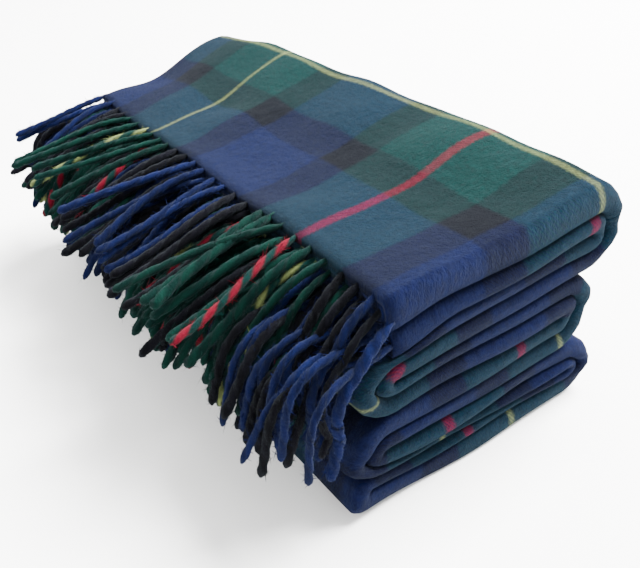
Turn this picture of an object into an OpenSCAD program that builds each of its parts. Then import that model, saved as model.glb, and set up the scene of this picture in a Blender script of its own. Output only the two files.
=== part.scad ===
// Camp blanket: a woven wool blanket folded lengthwise to four plies, then
// crosswise into a stack, with a fringe of twisted tassels at both ends.
// +X runs along the fringe, +Y to the back folds and +Z up. The origin is on
// the surface that the stack lies on, under the middle of the folded width.

/* [Folded blanket] */
// Width of the stack along the fringe: a quarter of the cloth's width
fold_w = 325; // [260:5:400]
// Height that one folded leaf of four plies takes up in the stack
leaf_t = 10; // [9:0.5:13]
// Air between one leaf and the next
leaf_gap = 0.4; // [0.3:0.1:0.8]
// How far the front edge of the two end leaves stands from the middle
end_front = 60; // [50:1:75]
// How much further forward the right end of that edge lies than the left end
end_skew = 26; // [0:1:30]
// How far the second end leaf stands back from the top leaf
end_inset = 4; // [2:1:8]

/* [Folds] */
// Reach of the upper back fold from the middle
back_upper = 67; // [60:1:80]
// Reach of the middle back fold
back_middle = 58; // [55:1:80]
// Reach of the lower back fold
back_lower = 66; // [60:1:80]
// Reach of the upper front fold
front_upper = 88; // [85:1:105]
// Reach of the middle front fold
front_middle = 92; // [85:1:105]
// Reach of the fold across the middle of the blanket, at the bottom
front_lower = 90; // [80:1:105]

/* [Fringe] */
// Length of a tassel from the cloth's end
tassel_l = 74; // [60:1:90]
// Thickness of a tassel
tassel_d = 4.2; // [3.6:0.1:4.3]
// Thickness of a tassel's root
root_d = 3.6; // [3:0.1:3.8]
// Distance between neighbouring tassels of one ply
tassel_pitch = 12; // [11.5:0.25:15]
// Droop of the lowest row
droop_low = 50; // [40:1:60]
// Droop of the highest row
droop_high = 16; // [8:1:30]

/* [Tartan] */
// Half the width of a green band, from its thin line to its edge
green_half = 36; // [25:1:50]
// Width of a black band
black_w = 22; // [12:1:35]
// Width of a blue band
blue_w = 57; // [30:1:80]
// Place of the red line on the top leaf, to the right of the middle
red_line_x = 90; // [60:1:110]

/* [Hidden] */
$fn = 64;
leaf_th = leaf_t - leaf_gap;         // thickness of a leaf itself
skew_turn = atan(end_skew / fold_w); // how far the two end leaves' edges are turned
sett_half = 2 * green_half + 2 * black_w + blue_w;
tassel_n = floor(fold_w / tassel_pitch);
plies = 4;
rows = 2 * plies;
top_level = 11;                      // levels count from 0 at the bottom
second_level = top_level - 1;
turn_out = 2 * leaf_t;               // outer radius of a turn of two nested leaves
row_rise = (leaf_th - root_d) / (plies - 1);
row_shift = tassel_pitch / 3;        // every third row's tassels are in line
elbow_lap = root_d / 2;              // a tassel's body starts this far up its root

// Middle of each turn: its place along Y, and the level at its middle height
upper_back = [back_upper - turn_out, 10];
middle_back = [back_middle - turn_out, 6];
lower_back = [back_lower - turn_out, 2];
upper_front = [turn_out - front_upper, 8];
middle_front = [turn_out - front_middle, 4];
lower_front = [leaf_t - front_lower, 1];

// The fringe bends down over the upper front turn
bend_z = upper_front[1] * leaf_t;

function front_y(x) = -end_front - end_skew * x / fold_w;
function level_z(level) = level * leaf_t;
function row_z(row) =
    level_z(row < plies ? top_level : second_level) + root_d / 2
    + (plies - 1 - row % plies) * row_rise;
function row_droop(row) = droop_high + (droop_low - droop_high) * row / (rows - 1);
function tassel_x(i, row) =
    (i + 0.5 - tassel_n / 2) * tassel_pitch + (row % 3 - 1) * row_shift;
// How far past the upper front turn's middle a row's elbow stands: each row
// bends a little further out than the one below it, so they stay clear
function elbow_out(row) =
    row == rows - 1 ? (turn_out + leaf_gap + tassel_d / 2
        - (row_z(row) - bend_z) * cos(droop_low)) / sin(droop_low) :
    elbow_out(row + 1) + (row_z(row) - row_z(row + 1)) * tan(row_droop(row + 1) / 2);

// Which of the four plies, 0 to 3 across the cloth's width, a row belongs to:
// the second end of the blanket lies the other way up
function row_ply(row) = row < plies ? [1, 2, 3, 0][row] : [0, 3, 2, 1][row - plies];
// Distance across the open cloth of a place x on a ply
function across(x, ply) =
    ply % 2 == 0 ? ply * fold_w + x + fold_w / 2 : (ply + 1) * fold_w - (x + fold_w / 2);
// Distance to the nearest thin line, and the colour of the warp there
function line_gap(s) =
    let(u = (s - across(red_line_x, 1)) / sett_half) abs(u - round(u)) * sett_half;
function warp_colour(s) =
    line_gap(s) <= tassel_pitch / 2 ? "overcheck" :
    line_gap(s) <= green_half ? "green" :
    line_gap(s) <= green_half + black_w ? "black" : "blue";

// A straight leaf between two turns, with the closed fold on its right edge
module leaf(level, front, back) {
    edge_x = fold_w / 2 - leaf_th / 2;
    translate([-fold_w / 2, front, level_z(level)])
        cube([fold_w / 2 + edge_x, back - front, leaf_th]);
    translate([edge_x, front, level_z(level) + leaf_th / 2])
        rotate([-90, 0, 0])
        cylinder(h = back - front, d = leaf_th);
}

// A leaf at an end of the blanket, cut off a little askew at its front edge
module end_leaf(level, inset, back) {
    difference() {
        leaf(level, front_y(fold_w), back);
        translate([0, inset, level_z(level) - leaf_gap])
            linear_extrude(leaf_t + leaf_gap)
            polygon([
                [-fold_w, front_y(-fold_w)],
                [fold_w, front_y(fold_w)],
                [fold_w, front_y(fold_w) - fold_w],
                [-fold_w, front_y(fold_w) - fold_w]
            ]);
    }
}

// Half a ring of leaf about a turn's middle: ring 0 is the inner leaf
module turn(middle, ring, towards) {
    near = ring * leaf_t + leaf_gap / 2;
    edge_x = fold_w / 2 - leaf_th / 2;
    translate([0, middle[0], level_z(middle[1]) - leaf_gap / 2])
        scale([1, towards, 1])
        rotate([0, 90, 0])
        rotate_extrude(angle = 180) {
            translate([near, -fold_w / 2])
                square([leaf_th, fold_w / 2 + edge_x]);
            translate([near + leaf_th / 2, edge_x])
                circle(d = leaf_th);
        }
}

// A block that takes in everything above a height
module above(z) {
    translate([-fold_w, -2 * fold_w, z])
        cube([2 * fold_w, 4 * fold_w, fold_w]);
}

// The top leaf, with the part of its turn that lifts with it
module top_leaf() {
    color("darkslategray") {
        end_leaf(top_level, 0, upper_back[0]);
        intersection() {
            turn(upper_back, 1, 1);
            above(level_z(top_level));
        }
    }
}

module second_leaf() {
    color("darkslateblue")
        end_leaf(second_level, end_inset, upper_back[0]);
}

// The outer turn of the upper back fold, up to where the top leaf lifts
module upper_back_outer_turn() {
    color("midnightblue")
        difference() {
            turn(upper_back, 1, 1);
            above(level_z(top_level) - leaf_gap);
        }
}

// One twisted tassel, square to the cloth's end: a slimmer root that leaves the
// cloth level, and a body that droops on from the elbow, clear of the turn below
module tassel(x, row) {
    root_y = front_y(x) + (row < plies ? 0 : end_inset);
    bend_y = min(front_y(x) - tassel_d / 2, upper_front[0]);
    root_l = (root_y - bend_y + elbow_out(row)) / cos(skew_turn);
    translate([x, root_y, row_z(row)])
        rotate([0, 0, -skew_turn]) {
            rotate([90, 0, 0])
                cylinder(h = root_l, d = root_d);
            translate([0, -root_l, 0])
                rotate([90 + row_droop(row), 0, 0])
                translate([0, 0, -elbow_lap])
                cylinder(h = tassel_l - root_l + elbow_lap, d = tassel_d);
        }
}

// The tassels of one colour in one row
module tassels(row, colour) {
    for (i = [0:tassel_n - 1])
        if (warp_colour(across(tassel_x(i, row), row_ply(row))) == colour)
            tassel(tassel_x(i, row), row);
}

module third_leaf() {
    color("midnightblue")
        leaf(9, upper_front[0], upper_back[0]);
}

module fourth_leaf() {
    color("darkslateblue")
        leaf(8, upper_front[0], upper_back[0]);
}

module fifth_leaf() {
    color("midnightblue")
        leaf(7, upper_front[0], middle_back[0]);
}

module sixth_leaf() {
    color("darkslategray")
        leaf(6, upper_front[0], middle_back[0]);
}

module seventh_leaf() {
    color("midnightblue")
        leaf(5, middle_front[0], middle_back[0]);
}

module eighth_leaf() {
    color("darkslateblue")
        leaf(4, middle_front[0], middle_back[0]);
}

module ninth_leaf() {
    color("darkslategray")
        leaf(3, middle_front[0], lower_back[0]);
}

module tenth_leaf() {
    color("midnightblue")
        leaf(2, middle_front[0], lower_back[0]);
}

module eleventh_leaf() {
    color("darkslategray")
        leaf(1, lower_front[0], lower_back[0]);
}

module bottom_leaf() {
    color("midnightblue")
        leaf(0, lower_front[0], lower_back[0]);
}

module upper_back_inner_turn() {
    color("midnightblue")
        turn(upper_back, 0, 1);
}

module middle_back_outer_turn() {
    color("darkslategray")
        turn(middle_back, 1, 1);
}

module middle_back_inner_turn() {
    color("midnightblue")
        turn(middle_back, 0, 1);
}

module lower_back_outer_turn() {
    color("midnightblue")
        turn(lower_back, 1, 1);
}

module lower_back_inner_turn() {
    color("darkslateblue")
        turn(lower_back, 0, 1);
}

module upper_front_outer_turn() {
    color("darkslateblue")
        turn(upper_front, 1, -1);
}

module upper_front_inner_turn() {
    color("midnightblue")
        turn(upper_front, 0, -1);
}

module middle_front_outer_turn() {
    color("darkslateblue")
        turn(middle_front, 1, -1);
}

module middle_front_inner_turn() {
    color("midnightblue")
        turn(middle_front, 0, -1);
}

module lower_front_turn() {
    color("darkslategray")
        turn(lower_front, 0, -1);
}

module first_end_row_1_blue_tassels() {
    color("mediumblue")
        tassels(0, "blue");
}

module first_end_row_1_black_tassels() {
    color("black")
        tassels(0, "black");
}

module first_end_row_1_green_tassels() {
    color("darkgreen")
        tassels(0, "green");
}

module first_end_row_1_overcheck_tassels() {
    color("red")
        tassels(0, "overcheck");
}

module first_end_row_2_blue_tassels() {
    color("mediumblue")
        tassels(1, "blue");
}

module first_end_row_2_black_tassels() {
    color("black")
        tassels(1, "black");
}

module first_end_row_2_green_tassels() {
    color("darkgreen")
        tassels(1, "green");
}

module first_end_row_2_overcheck_tassels() {
    color("red")
        tassels(1, "overcheck");
}

module first_end_row_3_blue_tassels() {
    color("mediumblue")
        tassels(2, "blue");
}

module first_end_row_3_black_tassels() {
    color("black")
        tassels(2, "black");
}

module first_end_row_3_green_tassels() {
    color("darkgreen")
        tassels(2, "green");
}

module first_end_row_3_overcheck_tassels() {
    color("red")
        tassels(2, "overcheck");
}

module first_end_row_4_blue_tassels() {
    color("mediumblue")
        tassels(3, "blue");
}

module first_end_row_4_black_tassels() {
    color("black")
        tassels(3, "black");
}

module first_end_row_4_green_tassels() {
    color("darkgreen")
        tassels(3, "green");
}

module first_end_row_4_overcheck_tassels() {
    color("red")
        tassels(3, "overcheck");
}

module second_end_row_1_blue_tassels() {
    color("mediumblue")
        tassels(4, "blue");
}

module second_end_row_1_black_tassels() {
    color("black")
        tassels(4, "black");
}

module second_end_row_1_green_tassels() {
    color("darkgreen")
        tassels(4, "green");
}

module second_end_row_1_overcheck_tassels() {
    color("red")
        tassels(4, "overcheck");
}

module second_end_row_2_blue_tassels() {
    color("mediumblue")
        tassels(5, "blue");
}

module second_end_row_2_black_tassels() {
    color("black")
        tassels(5, "black");
}

module second_end_row_2_green_tassels() {
    color("darkgreen")
        tassels(5, "green");
}

module second_end_row_2_overcheck_tassels() {
    color("red")
        tassels(5, "overcheck");
}

module second_end_row_3_blue_tassels() {
    color("mediumblue")
        tassels(6, "blue");
}

module second_end_row_3_black_tassels() {
    color("black")
        tassels(6, "black");
}

module second_end_row_3_green_tassels() {
    color("darkgreen")
        tassels(6, "green");
}

module second_end_row_3_overcheck_tassels() {
    color("red")
        tassels(6, "overcheck");
}

module second_end_row_4_blue_tassels() {
    color("mediumblue")
        tassels(7, "blue");
}

module second_end_row_4_black_tassels() {
    color("black")
        tassels(7, "black");
}

module second_end_row_4_green_tassels() {
    color("darkgreen")
        tassels(7, "green");
}

module second_end_row_4_overcheck_tassels() {
    color("red")
        tassels(7, "overcheck");
}

top_leaf();
second_leaf();
third_leaf();
fourth_leaf();
fifth_leaf();
sixth_leaf();
seventh_leaf();
eighth_leaf();
ninth_leaf();
tenth_leaf();
eleventh_leaf();
bottom_leaf();
upper_back_outer_turn();
upper_back_inner_turn();
middle_back_outer_turn();
middle_back_inner_turn();
lower_back_outer_turn();
lower_back_inner_turn();
upper_front_outer_turn();
upper_front_inner_turn();
middle_front_outer_turn();
middle_front_inner_turn();
lower_front_turn();
first_end_row_1_blue_tassels();
first_end_row_1_black_tassels();
first_end_row_1_green_tassels();
first_end_row_1_overcheck_tassels();
first_end_row_2_blue_tassels();
first_end_row_2_black_tassels();
first_end_row_2_green_tassels();
first_end_row_2_overcheck_tassels();
first_end_row_3_blue_tassels();
first_end_row_3_black_tassels();
first_end_row_3_green_tassels();
first_end_row_3_overcheck_tassels();
first_end_row_4_blue_tassels();
first_end_row_4_black_tassels();
first_end_row_4_green_tassels();
first_end_row_4_overcheck_tassels();
second_end_row_1_blue_tassels();
second_end_row_1_black_tassels();
second_end_row_1_green_tassels();
second_end_row_1_overcheck_tassels();
second_end_row_2_blue_tassels();
second_end_row_2_black_tassels();
second_end_row_2_green_tassels();
second_end_row_2_overcheck_tassels();
second_end_row_3_blue_tassels();
second_end_row_3_black_tassels();
second_end_row_3_green_tassels();
second_end_row_3_overcheck_tassels();
second_end_row_4_blue_tassels();
second_end_row_4_black_tassels();
second_end_row_4_green_tassels();
second_end_row_4_overcheck_tassels();
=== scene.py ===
"""Camp blanket: brushed tartan wool folded into a stack, with a fringe of twisted tassels at both ends."""

import math

import bpy
import numpy as np
from mathutils import Matrix, Vector


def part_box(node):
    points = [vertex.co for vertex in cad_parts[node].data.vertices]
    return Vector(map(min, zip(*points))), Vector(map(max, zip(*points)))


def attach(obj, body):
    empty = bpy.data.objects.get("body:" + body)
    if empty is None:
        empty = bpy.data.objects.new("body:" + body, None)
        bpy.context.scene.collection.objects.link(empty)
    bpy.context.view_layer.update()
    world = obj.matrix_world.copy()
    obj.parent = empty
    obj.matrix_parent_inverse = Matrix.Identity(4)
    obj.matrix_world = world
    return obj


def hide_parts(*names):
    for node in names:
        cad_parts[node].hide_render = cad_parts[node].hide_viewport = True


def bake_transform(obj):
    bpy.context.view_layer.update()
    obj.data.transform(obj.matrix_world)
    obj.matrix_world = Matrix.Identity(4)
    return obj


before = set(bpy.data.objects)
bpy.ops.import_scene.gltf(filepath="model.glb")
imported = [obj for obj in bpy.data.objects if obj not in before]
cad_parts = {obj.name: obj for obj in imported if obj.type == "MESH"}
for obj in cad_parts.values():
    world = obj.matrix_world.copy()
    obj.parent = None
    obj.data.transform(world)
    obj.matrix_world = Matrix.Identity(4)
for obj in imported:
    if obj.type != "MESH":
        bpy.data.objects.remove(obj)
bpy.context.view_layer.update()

# ---------------------------------------------------------------- sizes, in metres, as in the part
END_FRONT = 0.060  # the fringed edge's distance in front of the middle
END_SKEW = 0.026  # how much further forward its right end lies
END_INSET = 0.004  # how far the second end stands back
TASSEL_L = 0.074
TASSEL_PITCH = 0.012
GREEN_HALF = 0.036  # tartan bands, from a thin line outwards
BLACK_W = 0.022
BLUE_W = 0.057
RED_LINE_X = 0.090
RED_LINE_HALF = 0.0026
YELLOW_LINE_HALF = 0.0015
FIRST_CROSS_LINE = 0.106  # the first line across, from the fringed end
CROSS_SETT = 0.1647  # distance between lines across
PLIES = 4
ROWS = 2 * PLIES
TASSEL_R = 0.0022
TASSEL_POINTS = 54
ROOT_DEPTH = 0.003  # how far a tassel's root reaches into the cloth
ROW_DROOP = (18, 27, 37, 47, 54, 60, 65, 69)  # degrees, from the top row down
ROW_LAYER = 0.0020  # each row lies this much further out than the one below it
RIGHT_CORNER = (0.080, 0.140)  # from here to here along X the tassels come to hang steeply
LEFT_CORNER = (-0.135, -0.160)  # and from here to here they come to stick out
FIBRES = 420  # loose fibres on a tassel
FIBRE_L = (0.0006, 0.0024)
FIBRE_W = 0.00009

LEAF_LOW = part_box("third_leaf")[0]
LEAF_T = LEAF_LOW.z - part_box("fourth_leaf")[0].z
FOLD_W = -2 * LEAF_LOW.x
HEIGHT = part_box("top_leaf")[1].z
PLY_T = LEAF_T / PLIES
CLOTH_T = 0.92 * PLY_T  # a ply's own thickness
CLOTH_STEP = 0.0065  # distance between rows of the cloth's mesh
SETT = 2 * GREEN_HALF + 2 * BLACK_W + BLUE_W
TASSEL_N = int(FOLD_W / TASSEL_PITCH)


def turn_middle(node, towards):
    """Middle of a turn, along Y and Z, from the box of its inner leaf."""
    low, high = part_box(node)
    return np.array([low.y if towards > 0 else high.y, (low.z + high.z) / 2])


UPPER_BACK = turn_middle("upper_back_inner_turn", 1)
MIDDLE_BACK = turn_middle("middle_back_inner_turn", 1)
LOWER_BACK = turn_middle("lower_back_inner_turn", 1)
UPPER_FRONT = turn_middle("upper_front_inner_turn", -1)
MIDDLE_FRONT = turn_middle("middle_front_inner_turn", -1)
LOWER_FRONT = turn_middle("lower_front_turn", -1)


def front_y(x):
    return -END_FRONT - END_SKEW * x / FOLD_W


def smoothstep(low, high, value):
    t = np.clip((value - low) / (high - low), 0, 1)
    return t * t * (3 - 2 * t)


def waves(seed, shortest, longest, count=7):
    """A smooth seeded function of two coordinates, from about -1 to 1."""
    rng = np.random.default_rng(seed)
    angle = rng.uniform(0, 2 * math.pi, count)
    length = np.exp(rng.uniform(math.log(shortest), math.log(longest), count))
    phase = rng.uniform(0, 2 * math.pi, count)
    share = np.sqrt(length / longest)
    kx = 2 * math.pi * np.cos(angle) / length
    ky = 2 * math.pi * np.sin(angle) / length

    def value(x, y):
        total = sum(a * np.sin(p * x + q * y + f) for a, p, q, f in zip(share, kx, ky, phase))
        return total / np.sqrt((share**2).sum() * 1.2)

    return value


# ---------------------------------------------------------------- camera, stage and lights
def stage_and_camera():
    camera = bpy.data.objects.new("camera", bpy.data.cameras.new("camera"))
    bpy.context.collection.objects.link(camera)
    bpy.context.scene.camera = camera
    camera.data.sensor_width = 36
    camera.data.lens = 47.8
    camera.data.clip_start = 0.01
    azimuth, elevation, roll = (math.radians(a) for a in (54.5, 33.8, -1.9))
    back = Vector(
        (
            math.sin(azimuth) * math.cos(elevation),
            -math.cos(azimuth) * math.cos(elevation),
            math.sin(elevation),
        )
    )
    right = Vector((math.cos(azimuth), math.sin(azimuth), 0))
    up = back.cross(right)
    turned_right = right * math.cos(roll) + up * math.sin(roll)
    turned_up = up * math.cos(roll) - right * math.sin(roll)
    axes = Matrix((turned_right, turned_up, back)).transposed()
    place = Vector((0.3640, -0.2492, 0.3033))
    camera.matrix_world = Matrix.Translation(place) @ axes.to_4x4()

    bpy.ops.mesh.primitive_plane_add(size=12, location=(0, 0, 0))
    floor = bpy.context.object
    floor.name = "floor"
    material, tree, shader = new_material("pale_floor")
    shader.inputs["Base Color"].default_value = (0.93, 0.93, 0.92, 1)
    shader.inputs["Roughness"].default_value = 0.8
    shader.inputs["Specular IOR Level"].default_value = 0.1
    floor.data.materials.append(material)

    world = bpy.data.worlds.new("studio")
    bpy.context.scene.world = world
    world.use_nodes = True
    background = world.node_tree.nodes["Background"]
    background.inputs["Color"].default_value = (1, 1, 1, 1)
    background.inputs["Strength"].default_value = 1.9
    for name, place, size, watts in (
        ("window", (0.2, 1.2, 1.8), 1.3, 560),
        ("front_fill", (-0.3, -1.5, 1.2), 1.6, 26),
        ("left_fill", (-1.5, 0.1, 1.4), 1.4, 50),
    ):
        light = bpy.data.objects.new(name, bpy.data.lights.new(name, "AREA"))
        light.data.size = size
        light.data.energy = watts
        light.location = place
        aim = Vector((0, 0, 0.05)) - Vector(place)
        light.rotation_euler = aim.to_track_quat("-Z", "Y").to_euler()
        bpy.context.collection.objects.link(light)


# ---------------------------------------------------------------- materials
def new_material(name):
    material = bpy.data.materials.new(name)
    material.use_nodes = True
    tree = material.node_tree
    return material, tree, tree.nodes["Principled BSDF"]


class Nodes:
    """Short calls that add and link shader nodes in one tree."""

    def __init__(self, tree):
        self.tree = tree

    def link(self, value, socket):
        if isinstance(value, bpy.types.NodeSocket):
            self.tree.links.new(value, socket)
        else:
            socket.default_value = value

    def math(self, operation, a, b=0.0, c=0.0):
        node = self.tree.nodes.new("ShaderNodeMath")
        node.operation = operation
        for value, socket in zip((a, b, c), node.inputs):
            self.link(value, socket)
        return node.outputs[0]

    def attribute(self, name):
        node = self.tree.nodes.new("ShaderNodeAttribute")
        node.attribute_name = name
        return node.outputs["Fac"]

    def vector(self, x, y, z=0.0):
        node = self.tree.nodes.new("ShaderNodeCombineXYZ")
        for value, socket in zip((x, y, z), node.inputs):
            self.link(value, socket)
        return node.outputs[0]

    def noise(self, vector, scale, detail=2.0, rough=0.5, distortion=0.0):
        node = self.tree.nodes.new("ShaderNodeTexNoise")
        self.link(vector, node.inputs["Vector"])
        node.inputs["Scale"].default_value = scale
        node.inputs["Detail"].default_value = detail
        node.inputs["Roughness"].default_value = rough
        node.inputs["Distortion"].default_value = distortion
        return node.outputs["Fac"]

    def mix(self, share, a, b, blend="MIX"):
        node = self.tree.nodes.new("ShaderNodeMix")
        node.data_type = "RGBA"
        node.blend_type = blend
        self.link(share, node.inputs[0])
        self.link(a, node.inputs[6])
        self.link(b, node.inputs[7])
        return node.outputs[2]

    def ramp(self, value, stops):
        node = self.tree.nodes.new("ShaderNodeValToRGB")
        self.link(value, node.inputs[0])
        elements = node.color_ramp.elements
        while len(elements) < len(stops):
            elements.new(1)
        for element, (place, colour) in zip(elements, stops):
            element.position = place
            element.color = colour
        return node.outputs[0]

    def bump(self, height, distance, strength=1.0, normal=None):
        node = self.tree.nodes.new("ShaderNodeBump")
        node.inputs["Strength"].default_value = strength
        node.inputs["Distance"].default_value = distance
        self.link(height, node.inputs["Height"])
        if normal is not None:
            self.link(normal, node.inputs["Normal"])
        return node.outputs[0]


GREEN = (0.0010, 0.0132, 0.0118, 1)
BLUE = (0.0019, 0.0034, 0.0195, 1)
BLACK = (0.0013, 0.0012, 0.0023, 1)
RED = (0.085, 0.003, 0.010, 1)
YELLOW = (0.095, 0.115, 0.042, 1)


def stripes(nodes, place, first_line, half_sett):
    """Colour of the yarn at a place: bands on both sides of a red line, then a yellow one half a sett on."""
    distance = nodes.math("PINGPONG", nodes.math("SUBTRACT", place, first_line), half_sett)
    soft = 0.0008
    edges = [
        (RED_LINE_HALF, RED, GREEN),
        (GREEN_HALF, GREEN, BLACK),
        (GREEN_HALF + BLACK_W, BLACK, BLUE),
        (half_sett - GREEN_HALF - BLACK_W, BLUE, BLACK),
        (half_sett - GREEN_HALF, BLACK, GREEN),
        (half_sett - YELLOW_LINE_HALF, GREEN, YELLOW),
    ]
    stops = [(0.0, RED)]
    for edge, before, after in edges:
        stops.append(((edge - soft) / half_sett, before))
        stops.append(((edge + soft) / half_sett, after))
    return nodes.ramp(nodes.math("DIVIDE", distance, half_sett), stops)


def cloth_material():
    material, tree, shader = new_material("brushed_tartan_wool")
    nodes = Nodes(tree)
    across = nodes.attribute("across")
    along = nodes.attribute("along")
    place = nodes.vector(across, along)
    # the nap blurs each band's edge
    stray = nodes.math("MULTIPLY", nodes.math("SUBTRACT", nodes.noise(place, 900, 3), 0.5), 0.0035)
    red_at = 2 * FOLD_W - (RED_LINE_X + FOLD_W / 2)
    warp = stripes(nodes, nodes.math("ADD", across, stray), red_at - 2 * SETT, SETT)
    weft = stripes(
        nodes, nodes.math("ADD", along, stray), FIRST_CROSS_LINE - CROSS_SETT, CROSS_SETT
    )
    # a two-and-two twill, mostly hidden by the nap
    twill = nodes.math("SINE", nodes.math("MULTIPLY", nodes.math("ADD", across, along), 3700))
    fuzz = nodes.noise(place, 1500, 4, 0.7)
    share = nodes.math("MULTIPLY_ADD", twill, 0.16, 0.5)
    share = nodes.math("ADD", share, nodes.math("MULTIPLY", nodes.math("SUBTRACT", fuzz, 0.5), 0.9))
    colour = nodes.mix(nodes.math("MINIMUM", nodes.math("MAXIMUM", share, 0.0), 1.0), warp, weft)
    # worn and felted patches are a little paler
    patches = nodes.noise(place, 45, 5, 0.65)
    pale = nodes.math("MULTIPLY", nodes.math("MAXIMUM", nodes.math("SUBTRACT", patches, 0.5), 0), 0.30)
    colour = nodes.mix(pale, colour, (0.014, 0.020, 0.030, 1))
    grain = nodes.math("MULTIPLY_ADD", nodes.noise(place, 420, 5, 0.8), 2.4, -0.2)
    grain = nodes.math("MAXIMUM", grain, 0.15)
    colour = nodes.mix(1.0, colour, nodes.vector(grain, grain, grain), "MULTIPLY")
    tree.links.new(colour, shader.inputs["Base Color"])
    shader.inputs["Roughness"].default_value = 0.92
    shader.inputs["Specular IOR Level"].default_value = 0.02
    shader.inputs["Sheen Weight"].default_value = 0.03
    shader.inputs["Sheen Roughness"].default_value = 0.4
    shader.inputs["Sheen Tint"].default_value = (0.72, 0.86, 1.0, 1)
    lumps = nodes.noise(place, 160, 4, 0.6)
    hairs = nodes.noise(place, 1100, 4, 0.8, 0.6)
    normal = nodes.bump(lumps, 0.0016)
    normal = nodes.bump(hairs, 0.0014, 1.0, normal)
    tree.links.new(normal, shader.inputs["Normal"])
    return material


def twisted_yarn(shader, nodes, stray, colours):
    """What all tassels share. colours gives each strand's colour, and stray how far fibres cross over."""
    shade = nodes.attribute("shade")
    place = nodes.vector(nodes.attribute("round"), nodes.attribute("along"), shade)
    fibres = nodes.noise(place, 900, 4, 0.75)
    crossing = nodes.math("SUBTRACT", fibres, 0.5)
    side = nodes.math("MULTIPLY_ADD", crossing, stray, nodes.attribute("strand"))
    side = nodes.math("MINIMUM", nodes.math("MAXIMUM", side, 0.0), 1.0)
    nodes.tree.links.new(nodes.bump(nodes.noise(place, 1400, 3, 0.7), 0.0008), shader.inputs["Normal"])
    shader.inputs["Roughness"].default_value = 0.9
    shader.inputs["Specular IOR Level"].default_value = 0.03
    shader.inputs["Sheen Weight"].default_value = 0.03
    shader.inputs["Sheen Roughness"].default_value = 0.4
    return nodes.mix(side, *colours), nodes.math("MULTIPLY_ADD", fibres, 1.2, 0.35), shade


def tassel_material(name, first, second):
    """Twisted wool of one band: one colour for each of the two strands, paler or darker by tassel."""
    material, tree, shader = new_material(name)
    nodes = Nodes(tree)
    colour, grain, shade = twisted_yarn(shader, nodes, 0.5, (first, second))
    grain = nodes.math("MULTIPLY", grain, nodes.math("MULTIPLY_ADD", shade, 0.6, 0.7))
    colour = nodes.mix(1.0, colour, nodes.vector(grain, grain, grain), "MULTIPLY")
    tree.links.new(colour, shader.inputs["Base Color"])
    shader.inputs["Sheen Tint"].default_value = (0.75, 0.88, 1.0, 1)
    return material


def overcheck_material():
    """Tassels at a thin line: red or yellow wool twisted with the dark yarn beside it."""
    material, tree, shader = new_material("twisted_overcheck_wool")
    nodes = Nodes(tree)
    line = nodes.mix(nodes.attribute("yellow"), RED, YELLOW)
    colour, grain, _ = twisted_yarn(shader, nodes, 0.7, (line, GREEN))
    colour = nodes.mix(1.0, colour, nodes.vector(grain, grain, grain), "MULTIPLY")
    tree.links.new(colour, shader.inputs["Base Color"])
    return material


# ---------------------------------------------------------------- how the folded blanket settles
# Height at which each leaf's underside comes to lie, from the floor to the top:
# the lower leaves are pressed and the upper ones lie loosely
SETTLED = np.array(
    [0, 0.0128, 0.0184, 0.0240, 0.0340, 0.0440, 0.0550, 0.0660, 0.0745, 0.0850, 0.0935, 0.1025, 0.1195]
)
LEFT_FRONT_SINKS = 0.76  # share of the height that is left at each corner of the stack
LEFT_BACK_SINKS = 0.955
RIGHT_FRONT_SINKS = 0.975
BACK_SKEW = 0.012  # the upper back fold runs back towards the right by this much
BACK_OUT = 0.003  # and lies back by this much
RIDGE = 0.009  # how far the upper back fold stands up above the top leaf
lie = waves(3, 0.06, 0.30)
fold_run = waves(5, 0.08, 0.35)
edge_run = waves(8, 0.03, 0.14, 9)
top_lie = waves(13, 0.035, 0.12, 9)
clump = waves(21, 0.03, 0.09, 9)


def smooth_heights():
    levels = np.linspace(0, 12, 241)
    heights = np.interp(levels, np.arange(13), SETTLED)
    width = 9
    padded = np.concatenate(
        [2 * heights[0] - heights[width:0:-1], heights, 2 * heights[-1] - heights[-2 : -width - 2 : -1]]
    )
    kernel = np.hanning(2 * width + 3)[1:-1]
    return levels, np.convolve(padded, kernel / kernel.sum(), "valid")


LEVELS, LEVEL_HEIGHTS = smooth_heights()


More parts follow.
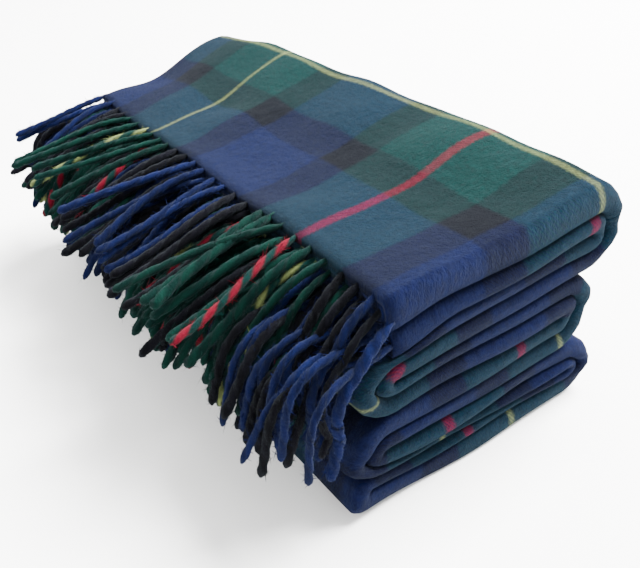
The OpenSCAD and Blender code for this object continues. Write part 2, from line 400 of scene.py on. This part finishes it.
def settle(points):
    """Moves points of the neatly folded blanket to where the soft one lies."""
    x, y, z = np.array(points, float).T
    right = np.clip(x / FOLD_W + 0.5, 0, 1)
    back = smoothstep(-0.075, 0.055, y)
    height = z / HEIGHT
    lies = np.interp(z / LEAF_T, LEVELS, LEVEL_HEIGHTS)
    left_share = LEFT_FRONT_SINKS + (LEFT_BACK_SINKS - LEFT_FRONT_SINKS) * back
    right_share = RIGHT_FRONT_SINKS + (1 - RIGHT_FRONT_SINKS) * back
    share = left_share + (right_share - left_share) * right**0.8
    lies = lies * share * (1 + 0.012 * lie(x, y))
    # the front corner of the top leaf falls open
    opening = 0.007 * smoothstep(-0.030, -0.065, y) * smoothstep(-0.02, 0.15, x)
    lies = lies - opening * np.exp(-(((height - 0.86) / 0.07) ** 2))
    # soft hills and hollows, most of all on top
    lies = lies + 0.0016 * top_lie(x, y) * height**3
    behind = smoothstep(0.0, 0.045, y)
    along_ridge = 1 - 0.6 * smoothstep(0.09, 0.16, x) - 0.5 * smoothstep(-0.09, -0.16, x)
    lies = lies + RIDGE * smoothstep(-0.01, 0.05, y) * along_ridge * height**3
    # the lowest front fold is fuller than the leaves behind it
    lies = lies + 0.005 * smoothstep(-0.045, -0.085, y) * np.exp(-(((z / LEAF_T - 2.4) / 1.7) ** 2))
    ahead = smoothstep(-0.03, -0.07, y)
    loose = 0.35 + 0.65 * smoothstep(0.5, 0.8, height)
    run = (BACK_SKEW * x / FOLD_W + BACK_OUT) * loose * behind
    run = run + 0.0022 * fold_run(x, 6 * z) * (behind - ahead * (height < 0.8))
    side = smoothstep(FOLD_W / 2 - 0.035, FOLD_W / 2, x)
    out = 0.0012 * edge_run(0.6 * y, 3.1 * z) * side
    left = smoothstep(-FOLD_W / 2 + 0.03, -FOLD_W / 2, x)
    out = out + 0.0022 * edge_run(y + 0.7, 3.1 * z) * left
    return np.stack([x + out, y + run, np.maximum(lies, 0.0)], 1)


# ---------------------------------------------------------------- the woven cloth
def cross_section():
    """The four plies across a leaf: places (x, w), with the distance across the open cloth.

    w is measured from the leaf's middle, upwards on the top leaf."""
    outer, small = 1.5 * PLY_T, 0.5 * PLY_T
    fold_right = FOLD_W / 2 - outer - PLY_T / 2
    fold_left = -FOLD_W / 2 + small + PLY_T / 2
    count = 40
    flat_a = np.linspace(-FOLD_W / 2 + 0.001, fold_right, count)
    flat_b = np.linspace(fold_right, fold_left, count)
    flat_c = np.linspace(fold_left, fold_right - 0.0006, count)
    flat_d = np.linspace(fold_right - 0.0006, -FOLD_W / 2 + 0.002, count)

    def bend(x, w, radius, start, end, steps):
        angle = np.radians(np.linspace(start, end, steps + 1)[1:-1])
        return np.stack([x + radius * np.cos(angle), w + radius * np.sin(angle)], 1)

    def flat(x, w):
        return np.stack([x, np.full_like(x, w)], 1)

    inner_right = fold_right - 0.0006
    points = np.concatenate(
        [
            flat(flat_a, -outer),
            bend(fold_right, 0, outer, -90, 90, 12),
            flat(flat_b, outer),
            bend(fold_left, 2 * small, small, 90, 270, 6),
            flat(flat_c, small),
            bend(inner_right, 0, small, 90, -90, 6),
            flat(flat_d, -small),
        ]
    )
    step = np.linalg.norm(np.diff(points, axis=0), axis=1)
    across = np.concatenate([[0], np.cumsum(step)])
    across *= PLIES * FOLD_W / across[-1]
    return points, across


def strip_path():
    """The folded strip's middle line, from the first end to the second.

    Each row is y, z, heading (y, z), length along the cloth, and how much it follows the first and
    the second end's skewed edge."""
    rows = []
    half = LEAF_T / 2
    outer, inner = 1.5 * LEAF_T, 0.5 * LEAF_T

    def straight(start, end, z, first_end=0.0, second_end=0.0):
        count = max(2, round(abs(end - start) / CLOTH_STEP))
        for t in np.linspace(0, 1, count + 1)[:-1]:
            way = math.copysign(1, end - start)
            rows.append([start + t * (end - start), z, way, 0, 0, first_end * (1 - t), second_end * t])

    def turn(middle, radius, towards, down):
        """Half a turn about a middle: towards is +1 at the back, down is +1 from upper leaf to lower."""
        count = 12 if radius > LEAF_T else 8
        for t in np.linspace(0, math.pi, count + 1)[:-1]:
            y = middle[0] + towards * radius * math.sin(t)
            z = middle[1] + down * radius * math.cos(t)
            rows.append([y, z, towards * math.cos(t), -down * math.sin(t), 0, 0, 0])

    def height(middle, radius, down):
        return middle[1] + down * radius

    front = -END_FRONT
    straight(front, UPPER_BACK[0], height(UPPER_BACK, outer, 1), first_end=1)
    turn(UPPER_BACK, outer, 1, 1)
    straight(UPPER_BACK[0], UPPER_FRONT[0], height(UPPER_BACK, outer, -1))
    turn(UPPER_FRONT, inner, -1, 1)
    straight(UPPER_FRONT[0], MIDDLE_BACK[0], height(MIDDLE_BACK, outer, 1))
    turn(MIDDLE_BACK, outer, 1, 1)
    straight(MIDDLE_BACK[0], MIDDLE_FRONT[0], height(MIDDLE_BACK, outer, -1))
    turn(MIDDLE_FRONT, inner, -1, 1)
    straight(MIDDLE_FRONT[0], LOWER_BACK[0], height(LOWER_BACK, outer, 1))
    turn(LOWER_BACK, outer, 1, 1)
    straight(LOWER_BACK[0], LOWER_FRONT[0], height(LOWER_BACK, outer, -1))
    turn(LOWER_FRONT, inner, -1, -1)
    straight(LOWER_FRONT[0], LOWER_BACK[0], height(LOWER_BACK, inner, -1))
    turn(LOWER_BACK, inner, 1, -1)
    straight(LOWER_BACK[0], MIDDLE_FRONT[0], height(LOWER_BACK, inner, 1))
    turn(MIDDLE_FRONT, outer, -1, -1)
    straight(MIDDLE_FRONT[0], MIDDLE_BACK[0], height(MIDDLE_BACK, inner, -1))
    turn(MIDDLE_BACK, inner, 1, -1)
    straight(MIDDLE_BACK[0], UPPER_FRONT[0], height(MIDDLE_BACK, inner, 1))
    turn(UPPER_FRONT, outer, -1, -1)
    straight(UPPER_FRONT[0], UPPER_BACK[0], height(UPPER_BACK, inner, -1))
    turn(UPPER_BACK, inner, 1, -1)
    straight(UPPER_BACK[0], front, height(UPPER_BACK, inner, 1), second_end=1)
    rows.append([front, height(UPPER_BACK, inner, 1), -1, 0, 0, 0, 1])
    path = np.array(rows)
    step = np.linalg.norm(np.diff(path[:, :2], axis=0), axis=1)
    path[1:, 4] = np.cumsum(step)
    return path


def cloth_surface(path, section, side):
    """Settled points of one face of the cloth, rows along the strip by columns across: side is +1 or -1."""
    tangent = np.gradient(section, axis=0)
    tangent /= np.linalg.norm(tangent, axis=1, keepdims=True)
    face = section + side * CLOTH_T / 2 * np.stack([tangent[:, 1], -tangent[:, 0]], 1)
    x = np.broadcast_to(face[:, 0], (len(path), len(face)))
    w = np.broadcast_to(face[:, 1], x.shape)
    y, z, heading_y, heading_z = (path[:, i : i + 1] for i in range(4))
    skew = front_y(x) + END_FRONT
    y = y + path[:, 5:6] * skew + path[:, 6:7] * (skew + END_INSET)
    # the normal is the heading turned a quarter
    y = y - heading_z * w
    z = z + heading_y * w
    points = np.stack([x, y, z], 2).reshape(-1, 3)
    return settle(points).reshape(*x.shape, 3)


def cloth_piece(name, faces_a, faces_b, across, along, material):
    """A closed mesh of cloth from its two faces, with the cloth's own coordinates kept on it."""
    rows, columns = faces_a.shape[:2]
    grid = np.arange(rows * columns).reshape(rows, columns)
    other = grid + rows * columns
    quads = []

    def strip(a, b, c, d):
        quads.append(np.stack([a.ravel(), b.ravel(), c.ravel(), d.ravel()], 1))

    strip(grid[:-1, :-1], grid[:-1, 1:], grid[1:, 1:], grid[1:, :-1])
    strip(other[:-1, :-1], other[1:, :-1], other[1:, 1:], other[:-1, 1:])
    strip(grid[:-1, 0], grid[1:, 0], other[1:, 0], other[:-1, 0])
    strip(grid[:-1, -1], other[:-1, -1], other[1:, -1], grid[1:, -1])
    strip(grid[0, :-1], other[0, :-1], other[0, 1:], grid[0, 1:])
    strip(grid[-1, :-1], grid[-1, 1:], other[-1, 1:], other[-1, :-1])
    mesh = bpy.data.meshes.new(name)
    points = np.concatenate([faces_a.reshape(-1, 3), faces_b.reshape(-1, 3)])
    mesh.from_pydata(points.tolist(), [], np.concatenate(quads).tolist())
    for key, values in (("across", np.tile(across, rows)), ("along", np.repeat(along, columns))):
        attribute = mesh.attributes.new(key, "FLOAT", "POINT")
        attribute.data.foreach_set("value", np.tile(values, 2).astype(np.float32))
    mesh.polygons.foreach_set("use_smooth", [True] * len(mesh.polygons))
    mesh.materials.append(material)
    mesh.update()
    piece = bpy.data.objects.new(name, mesh)
    bpy.context.collection.objects.link(piece)
    return piece


# ---------------------------------------------------------------- the fringe
def rope(centre, radius, lay, phase):
    """Rings of a two-strand twisted rope along a centre line, and where each point lies on its strand."""
    step = np.linalg.norm(np.diff(centre, axis=0), axis=1)
    length = np.concatenate([[0], np.cumsum(step)])
    heading = np.gradient(centre, axis=0)
    heading /= np.linalg.norm(heading, axis=1, keepdims=True)
    side = np.cross(heading, [0, 0, 1])
    side /= np.linalg.norm(side, axis=1, keepdims=True)
    up = np.cross(side, heading)
    lobe = np.radians([-65, -35, 0, 35, 65])
    angle = np.concatenate([lobe, lobe + math.pi])
    strand_r, offset = 0.81, 0.19
    reach = offset * abs(np.cos(angle)) + np.sqrt(strand_r**2 - (offset * np.sin(angle)) ** 2)
    twist = phase + 2 * math.pi * length / lay
    turned = angle[None] + twist[:, None]
    out = radius[:, None] * reach[None]
    rings = (
        centre[:, None]
        + (out * np.cos(turned))[..., None] * side[:, None]
        + (out * np.sin(turned))[..., None] * up[:, None]
    )
    strand = np.where(np.arange(len(angle)) < len(lobe), 0.0, 1.0)
    return rings, strand, angle, length


def lay_over_folds(line, x, clear):
    """Moves points of a tassel's line out of the front half of each front fold."""
    line = line.copy()
    for middle, leaves in ((UPPER_FRONT, 2), (MIDDLE_FRONT, 2), (LOWER_FRONT, 1)):
        reach = leaves * LEAF_T
        y, z = middle
        top, bottom, nose = settle([[x, y, z + reach], [x, y, z - reach], [x, y - reach, z]])
        centre_y, centre_z = (top[1] + bottom[1]) / 2, (top[2] + bottom[2]) / 2
        half_y, half_z = centre_y - nose[1] + clear, (top[2] - bottom[2]) / 2 + clear
        across, up = (line[:, 1] - centre_y) / half_y, (line[:, 2] - centre_z) / half_z
        far = np.hypot(across, up)
        inside = (far < 1) & (across < 0)
        line[inside, 1] = centre_y + half_y * across[inside] / far[inside]
        line[inside, 2] = centre_z + half_z * up[inside] / far[inside]
    return line


def tassel_line(rng, x, row):
    """The centre line of one tassel: out of the cloth's end, and drooping over the leaves below."""
    ply_z = PLY_T * (PLIES - 0.5 - row % PLIES)
    leaf = "top_leaf" if row < PLIES else "second_leaf"
    inset = 0 if row < PLIES else END_INSET
    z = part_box(leaf)[0].z + ply_z
    x = x + rng.normal(0, 0.0009)
    root = settle([[x, front_y(x) + inset + ROOT_DEPTH, z]])[0]
    right = smoothstep(*RIGHT_CORNER, x)
    left = smoothstep(*LEFT_CORNER, x)
    droop = ROW_DROOP[row] + rng.normal(0, 6)
    droop = math.radians(droop + (58 - 7 * row) * right - 0.3 * droop * left * (row < 2))
    start = math.radians(3 + 26 * right if row < PLIES else 2)
    length = TASSEL_L * rng.normal(1.03, 0.05) * (1 - 0.16 * left * (row < 2) + 0.06 * (row >= PLIES))
    square = math.atan2(-END_SKEW, FOLD_W)
    splay = square + rng.normal(0, 0.09) + 0.20 * clump(x, 0.02 * row) + 0.06 * right
    sway = rng.normal(0, 0.16)
    t = np.linspace(0, 1, TASSEL_POINTS)
    wobble = rng.uniform(0, 6, 2)
    # the second end's tassels first lie along the fold below them
    later = 0.0 if row < PLIES else 0.16
    bend = smoothstep(0.02 + later, 0.32 + later, t)
    pitch = start + (droop - start) * bend + 0.20 * t * np.sin(5 * t + wobble[0])
    way = splay + sway * (t - 0.3) + 0.11 * np.sin(6 * t + wobble[1])
    heading = np.stack([np.sin(way) * np.cos(pitch), -np.cos(way) * np.cos(pitch), -np.sin(pitch)], 1)
    # drawn too long, laid over the folds below, and cut to length
    step = 1.6 * (length + ROOT_DEPTH) / (TASSEL_POINTS - 1)
    line = root + np.concatenate([[[0, 0, 0]], np.cumsum(heading[:-1] * step, 0)])
    line = lay_over_folds(line, x, TASSEL_R + ROW_LAYER * (ROWS - 1 - row))
    line[:, 2] = np.maximum(line[:, 2], 1.5 * TASSEL_R)
    run = np.concatenate([[0], np.cumsum(np.linalg.norm(np.diff(line, axis=0), axis=1))])
    even = np.linspace(0, length + ROOT_DEPTH, TASSEL_POINTS)
    return np.stack([np.interp(even, run, line[:, k]) for k in range(3)], 1)


def tassel_piece(name, tassels, material, rng):
    """One mesh of twisted tassels, with loose fibres standing off them."""
    points, quads, attributes = [], [], {"strand": [], "round": [], "along": [], "shade": [], "yellow": []}
    start = 0
    for line, radius, lay, phase, shade, yellow in tassels:
        rings, strand, angle, length = rope(line, radius, lay, phase)
        count, around = rings.shape[:2]
        grid = start + np.arange(count * around).reshape(count, around)
        turned = np.roll(grid, -1, axis=1)
        quads += np.stack([grid[:-1], turned[:-1], turned[1:], grid[1:]], 2).reshape(-1, 4).tolist()
        quads += [grid[0, ::-1].tolist(), grid[-1].tolist()]
        points.append(rings.reshape(-1, 3))
        attributes["strand"].append(np.tile(strand, count))
        attributes["round"].append(np.tile(angle * 0.0016, count))
        attributes["along"].append(np.repeat(length, around))
        attributes["shade"].append(np.full(count * around, shade))
        attributes["yellow"].append(np.full(count * around, yellow))
        start += count * around
        ring = rng.integers(2, count - 1, FIBRES)
        spot = rng.integers(0, around, FIBRES)
        foot = rings[ring, spot]
        out = foot - line[ring]
        out /= np.linalg.norm(out, axis=1, keepdims=True)
        onwards = line[ring] - line[ring - 1]
        onwards /= np.linalg.norm(onwards, axis=1, keepdims=True)
        lean = rng.normal(0, 1.0, (FIBRES, 1))
        reach = rng.uniform(*FIBRE_L, (FIBRES, 1))
        tip = foot + reach * (0.75 * out + lean * onwards + 0.5 * rng.normal(0, 1, (FIBRES, 3)))
        width = FIBRE_W * rng.normal(0, 1, (FIBRES, 3))
        points.append(np.stack([foot - width, foot + width, tip], 1).reshape(-1, 3))
        quads += (start + np.arange(3 * FIBRES)).reshape(-1, 3).tolist()
        attributes["strand"].append(np.repeat(strand[spot], 3))
        attributes["round"].append(np.repeat(angle[spot] * 0.0016, 3))
        attributes["along"].append(np.repeat(length[ring], 3))
        attributes["shade"].append(np.full(3 * FIBRES, shade))
        attributes["yellow"].append(np.full(3 * FIBRES, yellow))
        start += 3 * FIBRES
    mesh = bpy.data.meshes.new(name)
    mesh.from_pydata(np.concatenate(points).tolist(), [], quads)
    for key, values in attributes.items():
        attribute = mesh.attributes.new(key, "FLOAT", "POINT")
        attribute.data.foreach_set("value", np.concatenate(values).astype(np.float32))
    mesh.polygons.foreach_set("use_smooth", [True] * len(mesh.polygons))
    mesh.materials.append(material)
    mesh.update()
    piece = bpy.data.objects.new(name, mesh)
    bpy.context.collection.objects.link(piece)
    return piece


def across_at(x, ply):
    """Distance across the open cloth of a place on a ply."""
    if ply % 2 == 0:
        return ply * FOLD_W + x + FOLD_W / 2
    return (ply + 1) * FOLD_W - (x + FOLD_W / 2)


def yarn_at(s):
    """The warp's colour where a tassel takes its yarn, and whether its thin line is yellow."""
    turns = (s - across_at(RED_LINE_X, 1)) / SETT
    gap = abs(turns - round(turns)) * SETT
    if gap <= TASSEL_PITCH / 2:
        return "overcheck", float(round(turns) % 2)
    if gap <= GREEN_HALF:
        return "green", 0.0
    return ("black" if gap <= GREEN_HALF + BLACK_W else "blue"), 0.0


def make_fringe(materials):
    """One piece for each colour in each row of tassels."""
    rng = np.random.default_rng(41)
    made = {"first": [], "second": []}
    # a tassel bends over the lifted edge: it starts with the leaf and ends hanging
    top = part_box("top_leaf")[1].z
    ends = [Vector(settle([[x, front_y(x), top]])[0]) for x in (-FOLD_W / 2, FOLD_W / 2)]
    edge = (ends[1] - ends[0]).normalized()
    way = Vector((edge.y, -edge.x, 0)).normalized() - Vector((0, 0, 1))
    way = (way - edge * way.dot(edge)).normalized()
    for row in range(ROWS):
        end = "first" if row < PLIES else "second"
        ply = [1, 2, 3, 0][row] if row < PLIES else [0, 3, 2, 1][row - PLIES]
        groups = {"blue": [], "black": [], "green": [], "overcheck": []}
        for i in range(TASSEL_N):
            x = (i + 0.5 - TASSEL_N / 2) * TASSEL_PITCH + (row % 3 - 1) * TASSEL_PITCH / 3
            yarn, yellow = yarn_at(across_at(x, ply))
            line = tassel_line(rng, x, row)
            t = np.linspace(0, 1, len(line))
            thick = TASSEL_R * rng.normal(1, 0.09)
            radius = thick * (0.66 + 0.34 * smoothstep(0, 0.14, t)) * (1 + 0.06 * smoothstep(0.7, 1, t))
            radius *= np.sqrt(np.clip((1.004 - t) / 0.03, 0.03, 1))
            lay = 0.0165 * rng.normal(1, 0.12)
            groups[yarn].append((line, radius, lay, rng.uniform(0, 6.28), rng.uniform(0, 1), yellow))
        for colour, tassels in groups.items():
            node = f"{end}_end_row_{row % PLIES + 1}_{colour}_tassels"
            piece = tassel_piece(f"soft_{node}", tassels, materials[colour], rng)
            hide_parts(node)
            if end == "first":
                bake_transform(piece)
            else:
                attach(piece, "stack")
            made[end].append(piece)
    return made


def make_cloth():
    """The folded cloth: the top leaf, a piece of its own with part of its turn, and all the rest."""
    material = cloth_material()
    section, across = cross_section()
    path = strip_path()
    along = path[:, 4]
    upper = cloth_surface(path, section, 1)
    lower = cloth_surface(path, section, -1)
    # the cut lies on the outer turn of the upper back fold, a third of the way round
    cut = np.nonzero(path[:, 3] < -0.01)[0][0] + 3
    top = slice(0, cut + 1)
    rest = slice(cut, len(path))
    leaf = cloth_piece("top_leaf_cloth", upper[top], lower[top], across, along[top], material)
    stack = cloth_piece("folded_cloth", upper[rest], lower[rest], across, along[rest], material)
    stack_nodes = [
        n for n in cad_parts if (n.endswith("_leaf") or n.endswith("_turn")) and n != "top_leaf"
    ]
    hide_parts("top_leaf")
    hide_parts(*stack_nodes)
    # the plane of the cut as it has settled
    border = np.concatenate([upper[cut], lower[cut]])
    centre = border.mean(0)
    normal = np.linalg.svd(border - centre)[2][2]
    if normal[2] < 0:
        normal = -normal
    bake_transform(leaf)
    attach(stack, "stack")
    return leaf, stack


stage_and_camera()
yarns = {
    "blue": tassel_material("twisted_blue_wool", (0.0024, 0.0044, 0.0240, 1), (0.0020, 0.0036, 0.0180, 1)),
    "black": tassel_material("twisted_black_wool", (0.0014, 0.0014, 0.0022, 1), (0.0020, 0.0020, 0.0034, 1)),
    "green": tassel_material("twisted_green_wool", (0.0010, 0.0125, 0.0090, 1), (0.0009, 0.0085, 0.0068, 1)),
    "overcheck": overcheck_material(),
}
fringe = make_fringe(yarns)
make_cloth()
